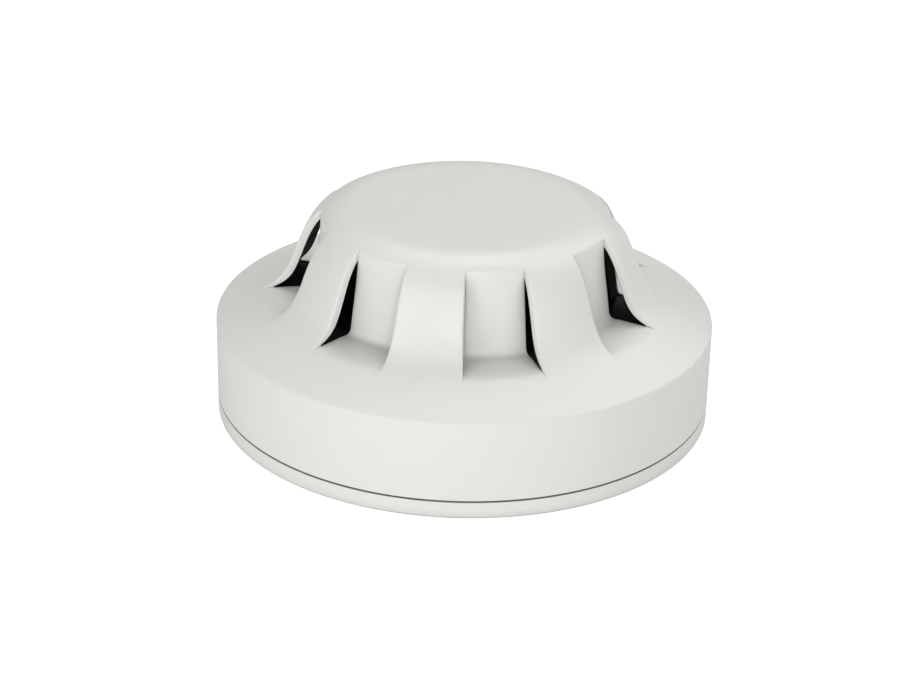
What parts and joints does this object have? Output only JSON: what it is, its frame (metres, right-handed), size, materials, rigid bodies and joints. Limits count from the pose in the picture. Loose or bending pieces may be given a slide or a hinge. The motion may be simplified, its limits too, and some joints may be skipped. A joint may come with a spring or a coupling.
{
  "type": "heat detector",
  "caption": "Round white ceiling heat detector with finned air inlets around a low dome, a black sensing chamber and a twist-lock mounting base.",
  "frame": {"origin": "centre of the mounting base's flat underside, the face that lies against the ceiling", "axes": "+Z from the ceiling face to the dome, along the detector's axis; +X towards one fixing slot"},
  "size_m": [0.1, 0.1, 0.0429],
  "materials": {
    "white_moulding": "fine satin moulded ABS, warm white",
    "contact_steel": "bright stamped stainless strip",
    "plated_steel": "zinc-plated steel",
    "lever_plastic": "orange nylon",
    "black_moulding": "matt black moulding",
    "seal_rubber": "closed-cell rubber",
    "board_laminate": "green solder mask",
    "chip_plastic": "matt black package",
    "capacitor_case": "tantalum yellow case",
    "resistor_ceramic": "black glazed chip",
    "bead_epoxy": "glossy epoxy dip",
    "tinned_wire": "tinned copper wire",
    "led_body": "red lens",
    "clear_plastic": "clear acrylic"
  },
  "bodies": {
    "base": {"mounting_base": "white_moulding", "terminal_contacts": "contact_steel", "earth_terminal": "contact_steel", "clamp_plates": "plated_steel", "terminal_screws": "plated_steel", "lock_pivot": "plated_steel"},
    "lever": {"lock_lever": "lever_plastic"},
    "head": {"outer_cover": "white_moulding", "inner_liner": "black_moulding", "chamber_floor": "black_moulding", "rear_housing": "white_moulding", "housing_seal": "seal_rubber", "housing_screws": "plated_steel", "contact_blades": "contact_steel", "circuit_board": "board_laminate", "board_screws": "plated_steel", "microcontroller": "chip_plastic", "bridge_rectifier": "chip_plastic", "capacitors": "capacitor_case", "resistors": "resistor_ceramic", "reference_thermistor": "resistor_ceramic", "sensing_thermistor": "bead_epoxy", "thermistor_leads": "tinned_wire", "thermistor_holder": "black_moulding", "status_led": "led_body", "light_pipe": "clear_plastic"}
  },
  "joints": [
    {"name": "head_twist", "type": "hinge", "parent": "base", "child": "head", "pos_m": [0, 0, 0], "axis": [0, 0, 1], "range_deg": [0, 20]},
    {"name": "lock_lever_swing", "type": "hinge", "parent": "base", "child": "lever", "pos_m": [0.003, 0.0345, 0.0038], "axis": [0, 0, -1], "range_deg": [0, 18]}
  ]
}
